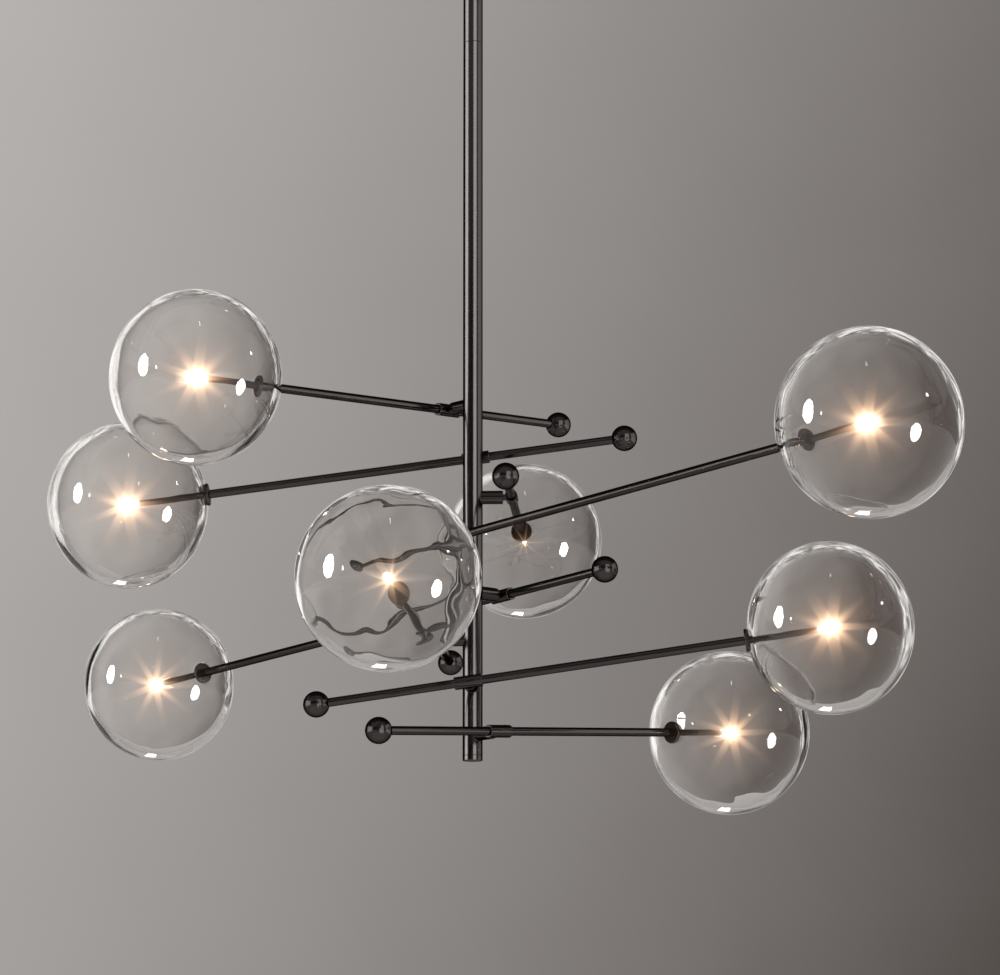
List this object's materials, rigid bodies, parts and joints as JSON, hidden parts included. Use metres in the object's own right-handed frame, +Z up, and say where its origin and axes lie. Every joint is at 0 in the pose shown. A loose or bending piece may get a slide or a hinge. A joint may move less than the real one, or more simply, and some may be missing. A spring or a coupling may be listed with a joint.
{
  "type": "bubble chandelier",
  "caption": "Hanging light: clear blown glass globes on straight arms that tilt on pivots along one slim stem, each with a lamp inside and a ball on its short end.",
  "frame": {"origin": "centre of the ceiling bracket's top face, where the light meets the ceiling", "axes": "+Z up along the stem, so the light hangs towards -Z; +X runs along the ceiling bracket"},
  "size_m": [1.1768, 1.3135, 1.0947],
  "materials": {
    "dark_bronze": "polished dark bronze",
    "zinc_steel": "zinc plated",
    "clear_glass": "clear blown glass, slightly wavy",
    "lamp_glass": "lit warm white capsule"
  },
  "bodies": {
    "stem": {"ceiling_bracket": "zinc_steel", "canopy": "dark_bronze", "upper_stem": "dark_bronze", "lower_stem": "dark_bronze", "pivot_boss_1": "dark_bronze", "pivot_boss_2": "dark_bronze", "pivot_boss_3": "dark_bronze", "pivot_boss_4": "dark_bronze", "pivot_boss_5": "dark_bronze", "pivot_boss_6": "dark_bronze", "pivot_boss_7": "dark_bronze", "pivot_boss_8": "dark_bronze"},
    "arm_1": {"pivot_collar_1": "dark_bronze", "arm_tube_1": "dark_bronze", "counterweight_1": "dark_bronze", "lampholder_1": "dark_bronze", "globe_1": "clear_glass", "lamp_1": "lamp_glass"},
    "arm_2": {"pivot_collar_2": "dark_bronze", "arm_tube_2": "dark_bronze", "counterweight_2": "dark_bronze", "lampholder_2": "dark_bronze", "globe_2": "clear_glass", "lamp_2": "lamp_glass"},
    "arm_3": {"pivot_collar_3": "dark_bronze", "arm_tube_3": "dark_bronze", "counterweight_3": "dark_bronze", "lampholder_3": "dark_bronze", "globe_3": "clear_glass", "lamp_3": "lamp_glass"},
    "arm_4": {"pivot_collar_4": "dark_bronze", "arm_tube_4": "dark_bronze", "counterweight_4": "dark_bronze", "lampholder_4": "dark_bronze", "globe_4": "clear_glass", "lamp_4": "lamp_glass"},
    "arm_5": {"pivot_collar_5": "dark_bronze", "arm_tube_5": "dark_bronze", "counterweight_5": "dark_bronze", "lampholder_5": "dark_bronze", "globe_5": "clear_glass", "lamp_5": "lamp_glass"},
    "arm_6": {"pivot_collar_6": "dark_bronze", "arm_tube_6": "dark_bronze", "counterweight_6": "dark_bronze", "lampholder_6": "dark_bronze", "globe_6": "clear_glass", "lamp_6": "lamp_glass"},
    "arm_7": {"pivot_collar_7": "dark_bronze", "arm_tube_7": "dark_bronze", "counterweight_7": "dark_bronze", "lampholder_7": "dark_bronze", "globe_7": "clear_glass", "lamp_7": "lamp_glass"},
    "arm_8": {"pivot_collar_8": "dark_bronze", "arm_tube_8": "dark_bronze", "counterweight_8": "dark_bronze", "lampholder_8": "dark_bronze", "globe_8": "clear_glass", "lamp_8": "lamp_glass"}
  },
  "joints": [
    {"name": "arm_1_tilt", "type": "hinge", "parent": "stem", "child": "arm_1", "pos_m": [0, 0, -0.5975], "axis": [-0.7145, 0.6997, 0], "range_deg": [-18, 22]},
    {"name": "arm_2_tilt", "type": "hinge", "parent": "stem", "child": "arm_2", "pos_m": [0, 0, -0.6575], "axis": [-0.0035, 1, 0], "range_deg": [-13, 27]},
    {"name": "arm_3_tilt", "type": "hinge", "parent": "stem", "child": "arm_3", "pos_m": [0, 0, -0.7175], "axis": [0.9995, 0.0314, 0], "range_deg": [-23, 8]},
    {"name": "arm_4_tilt", "type": "hinge", "parent": "stem", "child": "arm_4", "pos_m": [0, 0, -0.7775], "axis": [-0.7096, -0.7046, 0], "range_deg": [-23, 7]},
    {"name": "arm_5_tilt", "type": "hinge", "parent": "stem", "child": "arm_5", "pos_m": [0, 0, -0.8375], "axis": [0.7034, 0.7108, 0], "range_deg": [-8, 23]},
    {"name": "arm_6_tilt", "type": "hinge", "parent": "stem", "child": "arm_6", "pos_m": [0, 0, -0.8975], "axis": [-0.9997, 0.0244, 0], "range_deg": [-10, 19]},
    {"name": "arm_7_tilt", "type": "hinge", "parent": "stem", "child": "arm_7", "pos_m": [0, 0, -0.9575], "axis": [-0.0262, -0.9997, 0], "range_deg": [-28, 12]},
    {"name": "arm_8_tilt", "type": "hinge", "parent": "stem", "child": "arm_8", "pos_m": [0, 0, -1.0175], "axis": [0.7096, -0.7046, 0], "range_deg": [-24, 16]}
  ]
}
